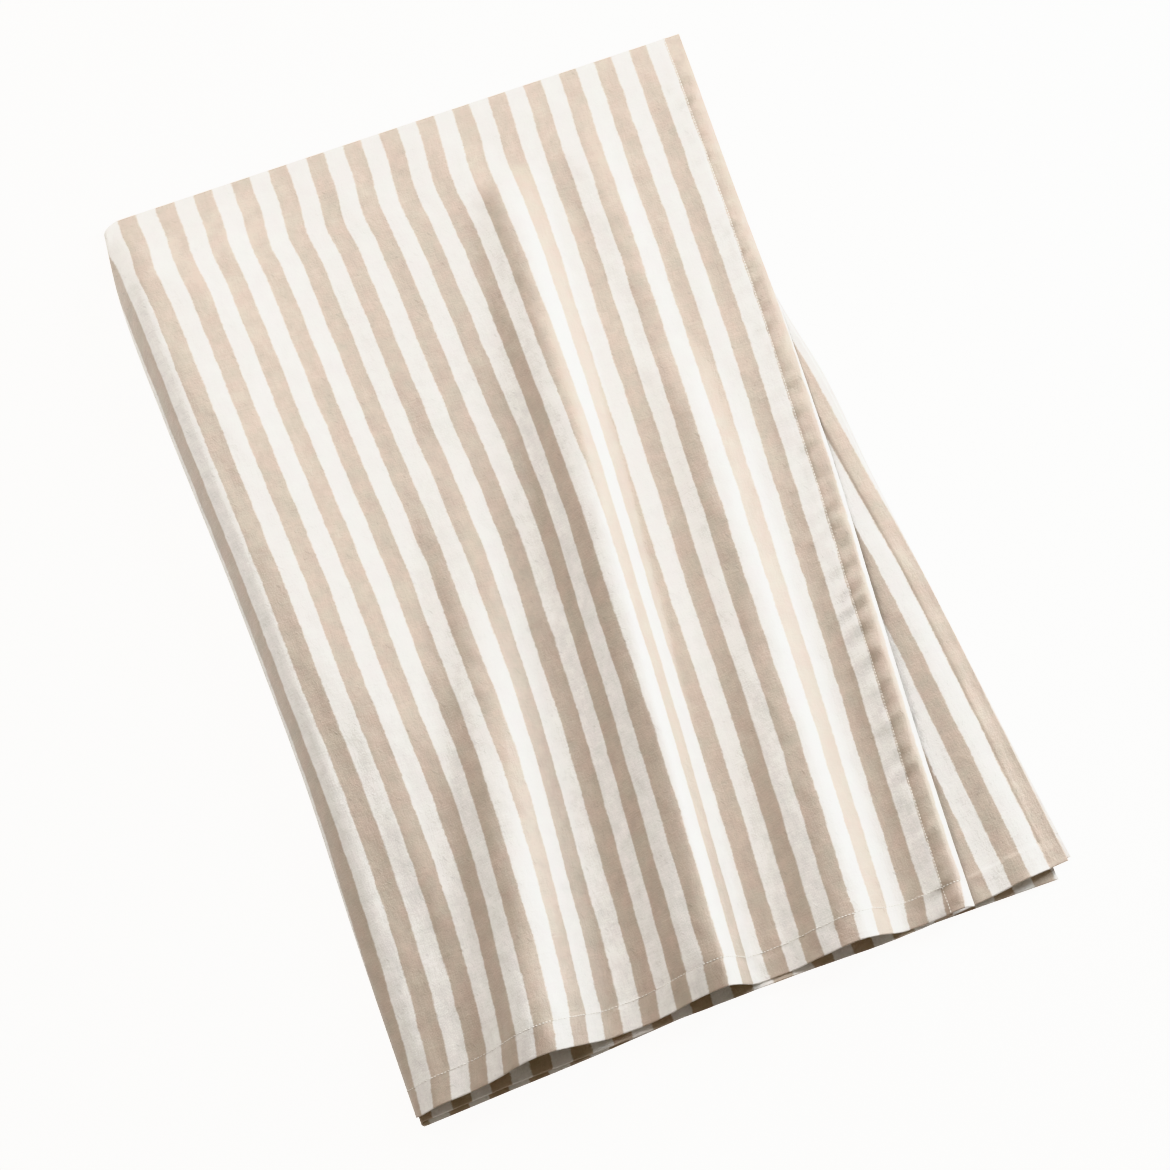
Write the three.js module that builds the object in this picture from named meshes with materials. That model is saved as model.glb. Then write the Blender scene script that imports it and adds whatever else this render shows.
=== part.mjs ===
// A striped tablecloth folded in quarters and lying loosely, face up. Millimetres, +Z up.
// +X runs across the stripes and +Y along them, towards the crosswise fold at the top.
// Its one sheet is followed from the top layer round both folds:
//   layer 1 lies on top, in soft waves, and joins layer 2 at the crosswise fold,
//   layer 4 lies flat on the surface, and joins layer 3 at the crosswise fold,
//   the lengthwise fold joins 1 to 4 on the outside and 2 to 3 inside them.
import * as THREE from 'three';

// the cloth
const halfWidth = 762;
const sheetThickness = 1.6;
const hemExtra = 0.7; // added on the wrong side, where a hem is turned
const sideHemDepth = 24;
const bottomHemDepth = 33;
const hemStep = 3; // over which the hem's thickness grows
const clothColour = 0xd9cdbd;

// the stack of layers, measured between the middles of their sheets
const layerStep = 3.4;
const innerRadius = layerStep / 2;
const outerRadius = layerStep * 1.5;
const foldHeight = sheetThickness / 2 + outerRadius;

// the crosswise fold: a straight line that falls a little from left to right
const foldEndY = 641;
const foldEndX = -415;
const foldFall = 13 / 744;
const cornerReach = 24; // from the lengthwise fold, where the corner is rounded
const cornerDrop = 11;

// Outline across the cloth, a row for each distance down from the crosswise fold:
// left is the lengthwise fold, hem the side hem of layer 1 and lower that of layer 2.
const outlineRows = [
  { down: 0, left: -411, hem: 329, lower: 329 },
  { down: 90, left: -416, hem: 327, lower: 323 },
  { down: 260, left: -407, hem: 324, lower: 316 },
  { down: 380, left: -398, hem: 323, lower: 327 },
  { down: 480, left: -390, hem: 320, lower: 344 },
  { down: 620, left: -381, hem: 314, lower: 354 },
  { down: 760, left: -374, hem: 304, lower: 368 },
  { down: 950, left: -371, hem: 292, lower: 385 },
  { down: 1160, left: -365, hem: 283, lower: 403 },
];

// Bottom hems, a row for each layer: distance down at the fold, by quarters, and at the side hem.
const hemRows = [
  { layer: 1, fold: 1161, quarter: 1149, middle: 1141, threeQuarter: 1136, side: 1134 },
  { layer: 2, fold: 1166, quarter: 1154, middle: 1144, threeQuarter: 1138, side: 1116 },
  { layer: 3, fold: 1171, quarter: 1157, middle: 1140, threeQuarter: 1133, side: 1112 },
  { layer: 4, fold: 1158, quarter: 1149, middle: 1139, threeQuarter: 1135, side: 1131 },
];

// Waves of the top layer, which run down the cloth and grow. Start and End columns are
// taken where a wave starts and at the bottom hem, crests lie along X, flanks are widths
// to the left and right of the crest, onset is the length over which the wave comes up.
const waves = [
  {
    name: 'main', starts: 86, onset: 50, grown: 560, fades: 1090,
    crestStart: 72, crestEnd: 0, bend: 3, heightStart: 9, heightEnd: 52,
    leftStart: 62, leftEnd: 115, rightStart: 50, rightEnd: 38,
  },
  {
    name: 'second', starts: 400, onset: 60, grown: 960, fades: 1090,
    crestStart: -100, crestEnd: -205, bend: 8, heightStart: 0, heightEnd: 50,
    leftStart: 70, leftEnd: 86, rightStart: 60, rightEnd: 78,
  },
  {
    name: 'third', starts: 360, onset: 60, grown: 950, fades: 2000,
    crestStart: 196, crestEnd: 160, bend: -3, heightStart: 0, heightEnd: 33,
    leftStart: 70, leftEnd: 96, rightStart: 60, rightEnd: 50,
  },
  {
    name: 'upper', starts: 60, onset: 60, grown: 200, fades: 520,
    crestStart: 172, crestEnd: 186, bend: 0, heightStart: 0, heightEnd: 7,
    leftStart: 36, leftEnd: 50, rightStart: 45, rightEnd: 60,
  },
];
const waveEnd = 1150;
const waveFadeLength = 200;
const growthPower = 0.8; // under 1, so a wave grows fastest where it starts

// Low waves of layer 2, which lift layer 1 with them and layer 3 by half.
const lowerWaves = [
  {
    name: 'fan', starts: 420, onset: 200, grown: 900, fades: 2000,
    crestStart: 318, crestEnd: 352, bend: 0, heightStart: 0, heightEnd: 6,
    leftStart: 40, leftEnd: 52, rightStart: 30, rightEnd: 46,
  },
  {
    name: 'middle', starts: 700, onset: 200, grown: 1100, fades: 2000,
    crestStart: 90, crestEnd: 118, bend: 0, heightStart: 0, heightEnd: 4,
    leftStart: 70, leftEnd: 80, rightStart: 70, rightEnd: 80,
  },
  {
    name: 'near the fold', starts: 760, onset: 200, grown: 1100, fades: 2000,
    crestStart: -250, crestEnd: -262, bend: 0, heightStart: 0, heightEnd: 5,
    leftStart: 60, leftEnd: 70, rightStart: 70, rightEnd: 90,
  },
];

// the swell beside the lengthwise fold: a steep face to the left, a long slope to the right,
// and from halfway down a level part between them
const swell = {
  height: 37, onset: 110, left: 38, right: 220, rightEnd: 180, levelEnd: 60,
  levels: 450, levelsOver: 400, lowers: 620, over: 400, loses: 0.5,
};

// the side hem's own low ridge
const hemRidge = {
  inset: 9, left: 56, right: 18, onset: 60, height: 6, gains: 13, from: 500, over: 400,
};

// how far the side hems of layers 3 and 4 lie outside that of layer 2 at the bottom hem,
// and how suddenly they part from it on the way down
const thirdHemPast = 6;
const thirdHemPower = 6;
const fourthHemPast = -18;
const fourthHemPower = 1;

// where the sheet is cut into facets
const topColumns = 29;
const lowColumns = 10;
const foldColumns = 6;
const crossFoldRows = 4;
const rowLength = 1150;
const outerRows = [
  0, 24, 48, 74, 90, 104, 120, 150, 200, 260, 320, 385, 450, 515, 580, 645, 710, 775, 840,
  905, 970, 1035, 1085,
];
const innerRows = [0, 40, 100, 190, 300, 410, 520, 640, 760, 880, 1000, 1085];
const roundSamples = 16;
const arcSamples = 240;

function clamp01(value) {
  return Math.min(1, Math.max(0, value));
}

// 0 to 1 in a smooth step
function smooth(value) {
  const t = clamp01(value);
  return t * t * (3 - 2 * t);
}

// 0 to 1 along half a cosine wave
function ease(value) {
  return 0.5 - 0.5 * Math.cos(Math.PI * clamp01(value));
}

function lerp(from, to, part) {
  return from + (to - from) * part;
}

// A column of the outline at a distance down, on a smooth curve through its rows.
function outline(key, down) {
  const rows = outlineRows;
  const last = rows.length - 1;
  const at = Math.min(rows[last].down, Math.max(rows[0].down, down));
  const slope = (i) => (rows[i + 1][key] - rows[i][key]) / (rows[i + 1].down - rows[i].down);
  const tangent = (i) => {
    if (i === 0) return slope(0);
    if (i === last) return slope(last - 1);
    return (slope(i - 1) + slope(i)) / 2;
  };
  let k = 0;
  while (k < last - 1 && at > rows[k + 1].down) k += 1;
  const span = rows[k + 1].down - rows[k].down;
  const t = (at - rows[k].down) / span;
  return rows[k][key] * (1 + 2 * t) * (1 - t) ** 2
    + tangent(k) * span * t * (1 - t) ** 2
    + rows[k + 1][key] * t * t * (3 - 2 * t)
    + tangent(k + 1) * span * t * t * (t - 1);
}

// Height of one wave: half a cosine up its left flank and down its right one.
function waveHeight(wave, x, down) {
  const run = clamp01((down - wave.starts) / (waveEnd - wave.starts));
  const crest = lerp(wave.crestStart, wave.crestEnd, run) + 4 * wave.bend * run * (1 - run);
  const growth = clamp01((down - wave.starts) / (wave.grown - wave.starts)) ** growthPower;
  const height = lerp(wave.heightStart, wave.heightEnd, growth)
    * smooth((down - wave.starts) / wave.onset)
    * (1 - smooth((down - wave.fades) / waveFadeLength));
  const past = x - crest;
  const flank = past < 0
    ? 1 + past / lerp(wave.leftStart, wave.leftEnd, run)
    : 1 - past / lerp(wave.rightStart, wave.rightEnd, run);
  return height * ease(flank);
}

function lowerLift(x, down) {
  return lowerWaves.reduce((sum, wave) => sum + waveHeight(wave, x, down), 0);
}

// Height of the top layer over its flat place.
function topLift(x, down) {
  const waveSum = waves.reduce((sum, wave) => sum + waveHeight(wave, x, down), 0);
  const swellHeight = swell.height * smooth(down / swell.onset)
    * (1 - swell.loses * smooth((down - swell.lowers) / swell.over));
  const pastSwell = x - outline('left', down) - swell.left;
  const swellRun = smooth((down - swell.levels) / swell.levelsOver);
  const pastLevel = pastSwell - swell.levelEnd * swellRun;
  const swellShape = pastSwell < 0
    ? Math.sin((Math.PI / 2) * clamp01(1 + pastSwell / swell.left))
    : ease(1 - pastLevel / lerp(swell.right, swell.rightEnd, swellRun));
  const ridgeHeight = (hemRidge.height + hemRidge.gains * smooth((down - hemRidge.from) / hemRidge.over))
    * smooth(down / hemRidge.onset);
  const pastRidge = x - outline('hem', down) + hemRidge.inset;
  const ridgeShape = ease(1 + (pastRidge < 0 ? pastRidge / hemRidge.left : -pastRidge / hemRidge.right));
  return waveSum + swellHeight * swellShape + ridgeHeight * ridgeShape + lowerLift(x, down);
}

// The top layer's section at one distance down, from the fold's middle to the side hem:
// x, z and the length along the cloth so far.
function topSection(down) {
  const left = outline('left', down);
  const hem = outline('hem', down);
  const section = [];
  for (let i = 0; i <= roundSamples; i += 1) {
    const angle = (Math.PI / 2) * (i / roundSamples);
    const x = left + outerRadius * (1 - Math.cos(angle));
    section.push({ x, z: foldHeight + outerRadius * Math.sin(angle) + topLift(x, down), length: 0 });
  }
  for (let i = 1; i <= arcSamples; i += 1) {
    const x = lerp(left + outerRadius, hem, i / arcSamples);
    section.push({ x, z: foldHeight + outerRadius + topLift(x, down), length: 0 });
  }
  for (let i = 1; i < section.length; i += 1) {
    const before = section[i - 1];
    section[i].length = before.length + Math.hypot(section[i].x - before.x, section[i].z - before.z);
  }
  section.roundEnd = section[roundSamples].length;
  return section;
}

const sectionCache = new Map();

function cachedSection(down) {
  if (!sectionCache.has(down)) sectionCache.set(down, topSection(down));
  return sectionCache.get(down);
}

// The point of the top layer at a part of the way from the round of the fold to the hem.
function topPoint(down, part) {
  const section = cachedSection(down);
  const wanted = lerp(section.roundEnd, section[section.length - 1].length, part);
  let k = 1;
  while (k < section.length - 1 && section[k].length < wanted) k += 1;
  const span = section[k].length - section[k - 1].length;
  const t = clamp01((wanted - section[k - 1].length) / span);
  return { x: lerp(section[k - 1].x, section[k].x, t), z: lerp(section[k - 1].z, section[k].z, t) };
}

// X and Z of the outer pair (layers 1 and 4) at a column and a distance down.
function outerPoint(column, down) {
  if (column.side === 0) {
    const x = outline('left', down) + outerRadius * (1 - Math.cos(column.angle));
    const lift = column.angle > 0 ? topLift(x, down) : 0;
    return { x, z: foldHeight + outerRadius * Math.sin(column.angle) + lift };
  }
  if (column.side > 0) return topPoint(down, column.part);
  const past = fourthHemPast * (down / rowLength) ** fourthHemPower;
  const start = outline('left', down) + outerRadius;
  return { x: lerp(start, outline('lower', down) + past, column.part), z: sheetThickness / 2 };
}

// X and Z of the inner pair (layers 2 and 3) at a column and a distance down.
function innerPoint(column, down) {
  const start = outline('left', down) + outerRadius;
  if (column.side === 0) {
    return {
      x: start - innerRadius * Math.cos(column.angle),
      z: foldHeight + innerRadius * Math.sin(column.angle),
    };
  }
  if (column.side > 0) {
    const x = lerp(start, outline('lower', down), column.part);
    return { x, z: foldHeight + innerRadius + lowerLift(x, down) };
  }
  const past = thirdHemPast * (down / rowLength) ** thirdHemPower;
  const x = lerp(start, outline('lower', down) + past, column.part);
  return { x, z: foldHeight - innerRadius + lowerLift(x, down) / 2 };
}

// The columns of facets: layer 4 or 3 from its side hem, round the fold, to layer 1's or 2's.
function makeColumns() {
  const columns = [];
  const hemPart = sideHemDepth / halfWidth;
  const stepPart = (sideHemDepth + hemStep) / halfWidth;
  columns.push({ side: -1, part: 1, hem: 1 });
  columns.push({ side: -1, part: 1 - hemPart, hem: 1 });
  columns.push({ side: -1, part: 1 - stepPart, hem: 0 });
  for (let i = lowColumns - 1; i >= 1; i -= 1) {
    columns.push({ side: -1, part: (i / lowColumns) * (1 - stepPart), hem: 0 });
  }
  for (let i = 0; i <= foldColumns; i += 1) {
    columns.push({ side: 0, part: 0, angle: Math.PI * (i / foldColumns - 0.5), hem: 0 });
  }
  for (let i = 1; i < topColumns; i += 1) {
    columns.push({ side: 1, part: (i / topColumns) * (1 - stepPart), hem: 0 });
  }
  columns.push({ side: 1, part: 1 - stepPart, hem: 0 });
  columns.push({ side: 1, part: 1 - hemPart, hem: 1 });
  columns.push({ side: 1, part: 1, hem: 1 });
  return columns;
}

// The rows of facets: the outer pair from its bottom hem, over the fold, to the inner pair's.
function makeRows() {
  const hemStart = rowLength - bottomHemDepth;
  const hemEnds = [
    { down: hemStart - hemStep, hem: 0 },
    { down: hemStart, hem: 1 },
    { down: rowLength, hem: 1 },
  ];
  const outer = [...outerRows.map((down) => ({ down, hem: 0 })), ...hemEnds];
  const inner = [...innerRows.map((down) => ({ down, hem: 0 })), ...hemEnds];
  const round = [];
  for (let i = 1; i < crossFoldRows; i += 1) {
    round.push({ down: 0, hem: 0, turn: Math.PI * (i / crossFoldRows) });
  }
  return [
    ...outer.reverse().map((row) => ({ ...row, turn: 0 })),
    ...round,
    ...inner.map((row) => ({ ...row, turn: Math.PI })),
  ];
}

// Distance down of a layer's bottom hem, on a cubic Hermite curve through its five places.
function bottomHem(layer, part) {
  const { fold, quarter, middle, threeQuarter, side } = hemRows[layer - 1];
  const values = [fold, quarter, middle, threeQuarter, side];
  const last = values.length - 1;
  const slopes = values.slice(1).map((value, k) => value - values[k]);
  const tangents = values.map(
    (value, k) => (slopes[Math.max(k - 1, 0)] + slopes[Math.min(k, last - 1)]) / 2);
  const at = clamp01(part) * last;
  const k = Math.min(last - 1, Math.floor(at));
  const t = at - k;
  return values[k] * (1 + 2 * t) * (1 - t) ** 2 + tangents[k] * t * (1 - t) ** 2
    + values[k + 1] * t * t * (3 - 2 * t) + tangents[k + 1] * t * t * (t - 1);
}

// Where the crosswise fold lies at a given X.
function foldLine(x) {
  const reach = clamp01(1 - (x - outlineRows[0].left) / cornerReach);
  return foldEndY - foldFall * (x - foldEndX) - cornerDrop * reach * reach;
}

// A point of the sheet's middle: the crosswise fold turns from the outer to the inner pair.
function sheetPoint(column, row) {
  const outerLayer = column.side < 0 ? 4 : 1;
  const innerLayer = column.side < 0 ? 3 : 2;
  const outerDown = row.down * (bottomHem(outerLayer, column.part) / rowLength);
  const innerDown = row.down * (bottomHem(innerLayer, column.part) / rowLength);
  const towardInner = (1 - Math.cos(row.turn)) / 2;
  const outerAt = outerPoint(column, outerDown);
  const innerAt = innerPoint(column, innerDown);
  const x = lerp(outerAt.x, innerAt.x, towardInner);
  const z = lerp(outerAt.z, innerAt.z, towardInner);
  const down = lerp(outerDown, innerDown, towardInner);
  const y = foldLine(x) - down - innerRadius * (1 - Math.sin(row.turn));
  return new THREE.Vector3(x, y, z);
}

// One closed sheet: the middle grid moved out to the right side and in to the wrong side,
// thicker at the hems, with a rim round its four edges.
function makeSheet() {
  const columns = makeColumns();
  const rows = makeRows();
  const wide = columns.length;
  const high = rows.length;
  const middle = rows.map((row) => columns.map((column) => sheetPoint(column, row)));
  const positions = new Float32Array(wide * high * 2 * 3);
  const place = (index, point) => point.toArray(positions, index * 3);
  const rightSide = (r, c) => r * wide + c;
  const wrongSide = (r, c) => wide * high + r * wide + c;
  for (let r = 0; r < high; r += 1) {
    for (let c = 0; c < wide; c += 1) {
      const across = middle[r][Math.min(c + 1, wide - 1)].clone().sub(middle[r][Math.max(c - 1, 0)]);
      const along = middle[Math.min(r + 1, high - 1)][c].clone().sub(middle[Math.max(r - 1, 0)][c]);
      const normal = across.cross(along).normalize();
      const hem = Math.max(rows[r].hem, columns[c].hem);
      const inward = sheetThickness / 2 + hemExtra * hem;
      place(rightSide(r, c), middle[r][c].clone().addScaledVector(normal, sheetThickness / 2));
      place(wrongSide(r, c), middle[r][c].clone().addScaledVector(normal, -inward));
    }
  }
  const triangles = [];
  const quad = (a, b, c, d) => triangles.push(a, b, c, a, c, d);
  for (let r = 0; r < high - 1; r += 1) {
    for (let c = 0; c < wide - 1; c += 1) {
      quad(rightSide(r, c), rightSide(r, c + 1), rightSide(r + 1, c + 1), rightSide(r + 1, c));
      quad(wrongSide(r, c), wrongSide(r + 1, c), wrongSide(r + 1, c + 1), wrongSide(r, c + 1));
    }
  }
  for (let c = 0; c < wide - 1; c += 1) {
    const r = high - 1;
    quad(rightSide(0, c), wrongSide(0, c), wrongSide(0, c + 1), rightSide(0, c + 1));
    quad(rightSide(r, c), rightSide(r, c + 1), wrongSide(r, c + 1), wrongSide(r, c));
  }
  for (let r = 0; r < high - 1; r += 1) {
    const c = wide - 1;
    quad(rightSide(r, 0), rightSide(r + 1, 0), wrongSide(r + 1, 0), wrongSide(r, 0));
    quad(rightSide(r, c), wrongSide(r, c), wrongSide(r + 1, c), rightSide(r + 1, c));
  }
  const geometry = new THREE.BufferGeometry();
  geometry.setAttribute('position', new THREE.BufferAttribute(positions, 3));
  geometry.setIndex(triangles);
  return geometry;
}

// The sheet with the middle of its outline over the origin.
function makeTablecloth() {
  const geometry = makeSheet();
  geometry.computeBoundingBox();
  const centre = geometry.boundingBox.getCenter(new THREE.Vector3());
  geometry.translate(-centre.x, -centre.y, 0);
  geometry.computeVertexNormals();
  const material = new THREE.MeshStandardMaterial({ color: clothColour, roughness: 0.9, metalness: 0 });
  const mesh = new THREE.Mesh(geometry, material);
  mesh.name = 'tablecloth';
  return mesh;
}

const group = new THREE.Group();
group.add(makeTablecloth());

export default group;
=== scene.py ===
import bpy
import numpy as np
from mathutils import Matrix, Vector


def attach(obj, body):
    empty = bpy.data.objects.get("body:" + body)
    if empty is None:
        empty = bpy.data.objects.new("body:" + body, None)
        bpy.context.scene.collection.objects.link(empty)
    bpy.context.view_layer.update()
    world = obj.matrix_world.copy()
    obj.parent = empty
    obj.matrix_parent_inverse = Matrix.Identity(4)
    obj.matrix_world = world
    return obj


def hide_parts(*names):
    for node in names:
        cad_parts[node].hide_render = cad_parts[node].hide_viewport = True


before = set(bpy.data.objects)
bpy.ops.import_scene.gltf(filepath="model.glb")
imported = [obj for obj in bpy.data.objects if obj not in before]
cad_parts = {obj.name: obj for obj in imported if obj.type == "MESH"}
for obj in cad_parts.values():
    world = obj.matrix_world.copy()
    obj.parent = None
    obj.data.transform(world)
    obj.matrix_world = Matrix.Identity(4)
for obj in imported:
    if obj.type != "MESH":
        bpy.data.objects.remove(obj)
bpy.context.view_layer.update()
metre = 0.001  # one millimetre of the tables, in metres

# The sheet: one cloth of 1524 by 2286 mm, its hems turned under twice.
cloth = {
    "halfWidth": 762, "halfLength": 1143,
    "thickness": 0.9,       # of the single cloth
    "hemThickness": 1.9,    # where it is turned under twice
    "rightSide": 0.8,       # from the middle of the stack's layer to the cloth's right side
    "sideStitch": 735.5,    # from the cloth's middle to the side hem's stitching
    "bottomHem": 31,        # from the edge to the bottom hem's stitching
    "edgeRound": 1.0,       # over which the sheet thins at its edge
    "edgeLeast": 0.12,      # share of the thickness left at the very edge
}

# Where a hem's thickness comes up: on the side hem in parts of its depth from the edge, on the
# bottom hem in millimetres before its stitching. The side hem's edge is rounded as if it were
# sideDepth deep.
hemRise = {"sideFrom": 1.1, "sideOver": 0.2, "bottomBefore": 3.0, "bottomOver": 5, "sideDepth": 28}

# The stack of layers and the crosswise fold, as in the solid.
stack = {
    "layerStep": 3.4, "sheet": 1.6, "rowLength": 1150,
    "foldEndX": -415, "foldEndY": 641, "foldFall": 13 / 744,
    "cornerReach": 24, "cornerDrop": 11,
    "centreX": -6.5, "centreY": 55.3,  # the outline's middle, which becomes the origin
}
innerRadius = stack["layerStep"] / 2    # of the fold that joins layers 2 and 3
outerRadius = stack["layerStep"] * 1.5  # of the fold round them, from layer 1 to layer 4
foldHeight = stack["sheet"] / 2 + outerRadius

# Across the cloth at each distance down: the lengthwise fold and the side hems of layers 1 and 2.
outline = {
    "down": [0, 90, 260, 380, 480, 620, 760, 950, 1160],
    "left": [-411, -416, -407, -398, -390, -381, -374, -371, -365],
    "hem": [329, 327, 324, 323, 320, 314, 304, 292, 283],
    "lower": [329, 323, 316, 327, 344, 354, 368, 385, 403],
}

# How the cloth has shifted in its folds, which moves its stripes: how far its middle is turned
# over on to the top, and how far the top layer is gathered half way across.
drift = {
    "turnedAtFold": -12, "turned": 25, "turnsOver": 75, "returns": 21, "returnsFrom": 560,
    "gatherAtFold": -5, "foldOver": 90, "gather": -5, "gatherOver": 760,
}

# How much longer the cloth is than its half width, out to the side hems of layers 1 and 2, and
# how far layer 2's side hem lies inside layer 3's.
give = {
    "top": -7, "bottom": 6, "from": 260, "power": 0.7,
    "lower": -5, "lowerGains": 10, "lowerAt": 450, "lowerOver": 170,
    "fanBack": 4, "fanAt": 490, "fanOver": 180,
}

# Distance down of each layer's bottom hem, from the fold to the side hem by quarters.
bottomRows = {
    1: (1161, 1149, 1141, 1136, 1134),
    2: (1166, 1154, 1144, 1138, 1116),
    3: (1171, 1157, 1140, 1133, 1112),
    4: (1158, 1149, 1139, 1135, 1131),
}

# How far the side hems of layers 3 and 4 lie outside that of layer 2 at the bottom hem, and the
# power that says how suddenly they part from it on the way down.
hemPast = {3: (6, 6), 4: (-18, 1)}

# Waves: where each starts, comes up, is grown and fades, its crest and height at both ends,
# and the widths of its flanks.
waveKeys = (
    "starts", "onset", "grown", "fades", "crestStart", "crestEnd", "bend",
    "heightStart", "heightEnd", "leftStart", "leftEnd", "rightStart", "rightEnd",
)
topWaves = {
    "main": (86, 50, 560, 1090, 72, 0, 3, 9, 52, 62, 115, 50, 38),
    "second": (400, 60, 960, 1090, -100, -205, 8, 0, 50, 70, 86, 60, 78),
    "third": (360, 60, 950, 2000, 196, 160, -3, 0, 33, 70, 96, 60, 50),
    "upper": (60, 60, 200, 520, 172, 186, 0, 0, 7, 36, 50, 45, 60),
}
lowerWaves = {
    "fan": (420, 200, 900, 2000, 318, 352, 0, 0, 6, 40, 52, 30, 46),
    "middle": (700, 200, 1100, 2000, 90, 118, 0, 0, 4, 70, 80, 70, 80),
    "nearFold": (760, 200, 1100, 2000, -250, -262, 0, 0, 5, 60, 70, 70, 90),
}
waveEnd = 1150     # distance down at which a wave has its end values
waveFade = 200     # over which a wave that fades dies out
growthPower = 0.8  # under 1, so a wave grows fastest where it starts

# The swell beside the lengthwise fold, and the low ridge along layer 1's side hem.
swell = {
    "height": 37, "onset": 110, "left": 38, "right": 220, "rightEnd": 180, "levelEnd": 60,
    "levels": 450, "levelsOver": 400, "lowers": 620, "over": 400, "loses": 0.5,
}
hemRidge = {
    "inset": 9, "left": 56, "right": 18, "onset": 60,
    "height": 6, "gains": 13, "from": 500, "over": 400,
}


def smooth(value):  # 0 to 1 as 3t^2 - 2t^3
    t = np.clip(value, 0, 1)
    return t * t * (3 - 2 * t)


def ease(value):  # 0 to 1 along half a cosine wave
    return 0.5 - 0.5 * np.cos(np.pi * np.clip(value, 0, 1))


def between(start, end, part):
    return start + (end - start) * part


# Cubic Hermite curve through values at rows, its slope at a row the mean of its neighbours'.
def alongRows(rows, values, down):
    rows, values = np.array(rows, float), np.array(values, float)
    slopes = np.diff(values) / np.diff(rows)
    tangents = np.concatenate([slopes[:1], (slopes[1:] + slopes[:-1]) / 2, slopes[-1:]])
    at = np.clip(down, rows[0], rows[-1])
    k = np.clip(np.searchsorted(rows, at) - 1, 0, len(rows) - 2)
    span = rows[k + 1] - rows[k]
    t = (at - rows[k]) / span
    return (
        values[k] * (1 + 2 * t) * (1 - t) ** 2
        + tangents[k] * span * t * (1 - t) ** 2
        + values[k + 1] * t * t * (3 - 2 * t)
        + tangents[k + 1] * span * t * t * (t - 1)
    )


def outlineAt(key, down):
    return alongRows(outline["down"], outline[key], down)


def bump(down, at, over):  # a bell of height 1
    return np.exp(-((down - at) / over) ** 2)


# Up from its value at the crosswise fold, then back by the cube of the way to the bottom hem.
def turnedAt(down):
    way = (down - drift["returnsFrom"]) / (stack["rowLength"] - drift["returnsFrom"])
    turned = between(drift["turned"], drift["turnedAtFold"], bump(down, 0, drift["turnsOver"]))
    return turned - drift["returns"] * np.maximum(way, 0) ** 3


# Two smooth steps down to nothing, a short one at the fold and a long one.
def gatherAt(down):
    short, long = (1 - smooth(down / drift[key]) for key in ("foldOver", "gatherOver"))
    return drift["gatherAtFold"] * short + drift["gather"] * long


# A power curve from the top value to the bottom one for layer 1, and a bell for layer 2.
def giveAt(layer, down):
    if layer == 2:
        return give["lower"] + give["lowerGains"] * bump(down, give["lowerAt"], give["lowerOver"])
    way = np.clip((down - give["from"]) / (stack["rowLength"] - give["from"]), 0, 1)
    return between(give["top"], give["bottom"], way ** give["power"])


# Half a cosine up a wave's left flank and down its right one, times its height there.
def waveHeight(row, x, down):
    wave = dict(zip(waveKeys, row))
    run = np.clip((down - wave["starts"]) / (waveEnd - wave["starts"]), 0, 1)
    crest = between(wave["crestStart"], wave["crestEnd"], run) + 4 * wave["bend"] * run * (1 - run)
    growth = np.clip((down - wave["starts"]) / (wave["grown"] - wave["starts"]), 0, 1)
    height = (
        between(wave["heightStart"], wave["heightEnd"], growth ** growthPower)
        * smooth((down - wave["starts"]) / wave["onset"])
        * (1 - smooth((down - wave["fades"]) / waveFade))
    )
    past = x - crest
    left = 1 + past / between(wave["leftStart"], wave["leftEnd"], run)
    right = 1 - past / between(wave["rightStart"], wave["rightEnd"], run)
    return height * ease(np.where(past < 0, left, right))


def lowerLift(x, down):
    return sum(waveHeight(row, x, down) for row in lowerWaves.values())


# The waves, the swell beside the lengthwise fold and the side hem's low ridge, added up.
def topLift(x, down):
    lift = sum(waveHeight(row, x, down) for row in topWaves.values()) + lowerLift(x, down)
    swellHeight = swell["height"] * smooth(down / swell["onset"])
    lowered = smooth((down - swell["lowers"]) / swell["over"])
    swellHeight = swellHeight * (1 - swell["loses"] * lowered)
    past = x - outlineAt("left", down) - swell["left"]
    rise = np.sin(np.pi / 2 * np.clip(1 + past / swell["left"], 0, 1))
    run = smooth((down - swell["levels"]) / swell["levelsOver"])
    slope = between(swell["right"], swell["rightEnd"], run)
    fall = ease(1 - (past - swell["levelEnd"] * run) / slope)
    lift = lift + swellHeight * np.where(past < 0, rise, fall)
    gained = smooth((down - hemRidge["from"]) / hemRidge["over"])
    ridgeHeight = hemRidge["height"] + hemRidge["gains"] * gained
    past = x - outlineAt("hem", down) + hemRidge["inset"]
    ridge = ease(1 + np.where(past < 0, past / hemRidge["left"], -past / hemRidge["right"]))
    return lift + ridgeHeight * smooth(down / hemRidge["onset"]) * ridge


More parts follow.
